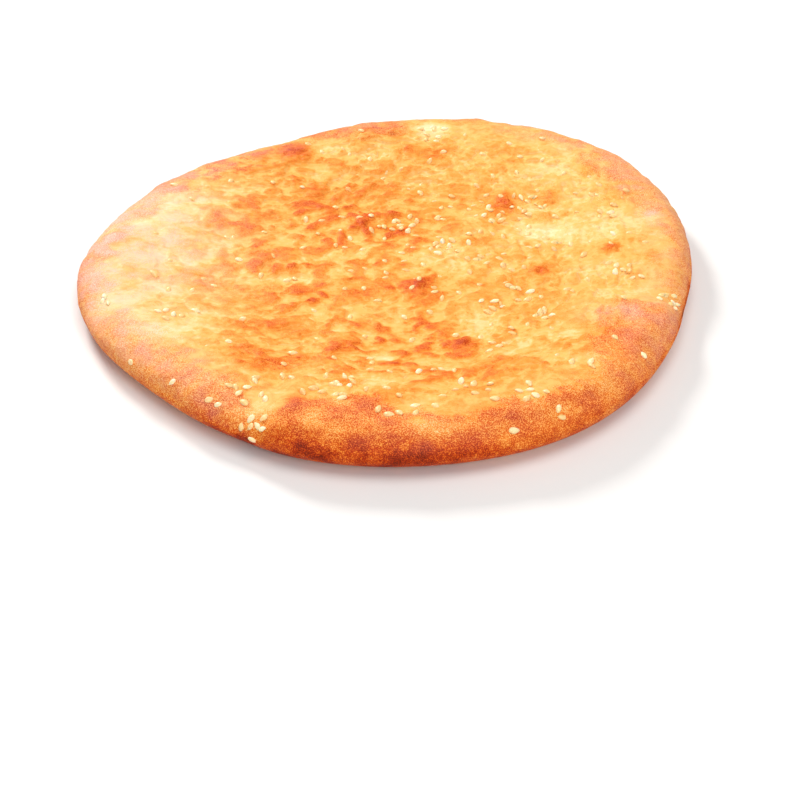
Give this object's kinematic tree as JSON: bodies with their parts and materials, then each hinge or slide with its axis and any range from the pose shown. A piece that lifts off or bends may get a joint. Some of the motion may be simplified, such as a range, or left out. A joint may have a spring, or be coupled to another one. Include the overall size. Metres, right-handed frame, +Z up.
{
  "type": "sesame naan",
  "caption": "Round flatbread with a thick browned rim, a sunken blistered middle and sesame seeds baked into its top.",
  "frame": {"origin": "middle of the footprint, on the table", "axes": "+Z up through the top of the bread, -Y towards the side that faces the viewer in the picture, +X to that viewer's right"},
  "size_m": [0.2034, 0.2044, 0.0169],
  "materials": {
    "crust": "matte golden crust with a faint sheen, browned on the rim and in blotches over the middle",
    "sesame": "satin cream seed coat"
  },
  "bodies": {
    "root": {"naan": "crust"}
  },
  "joints": []
}
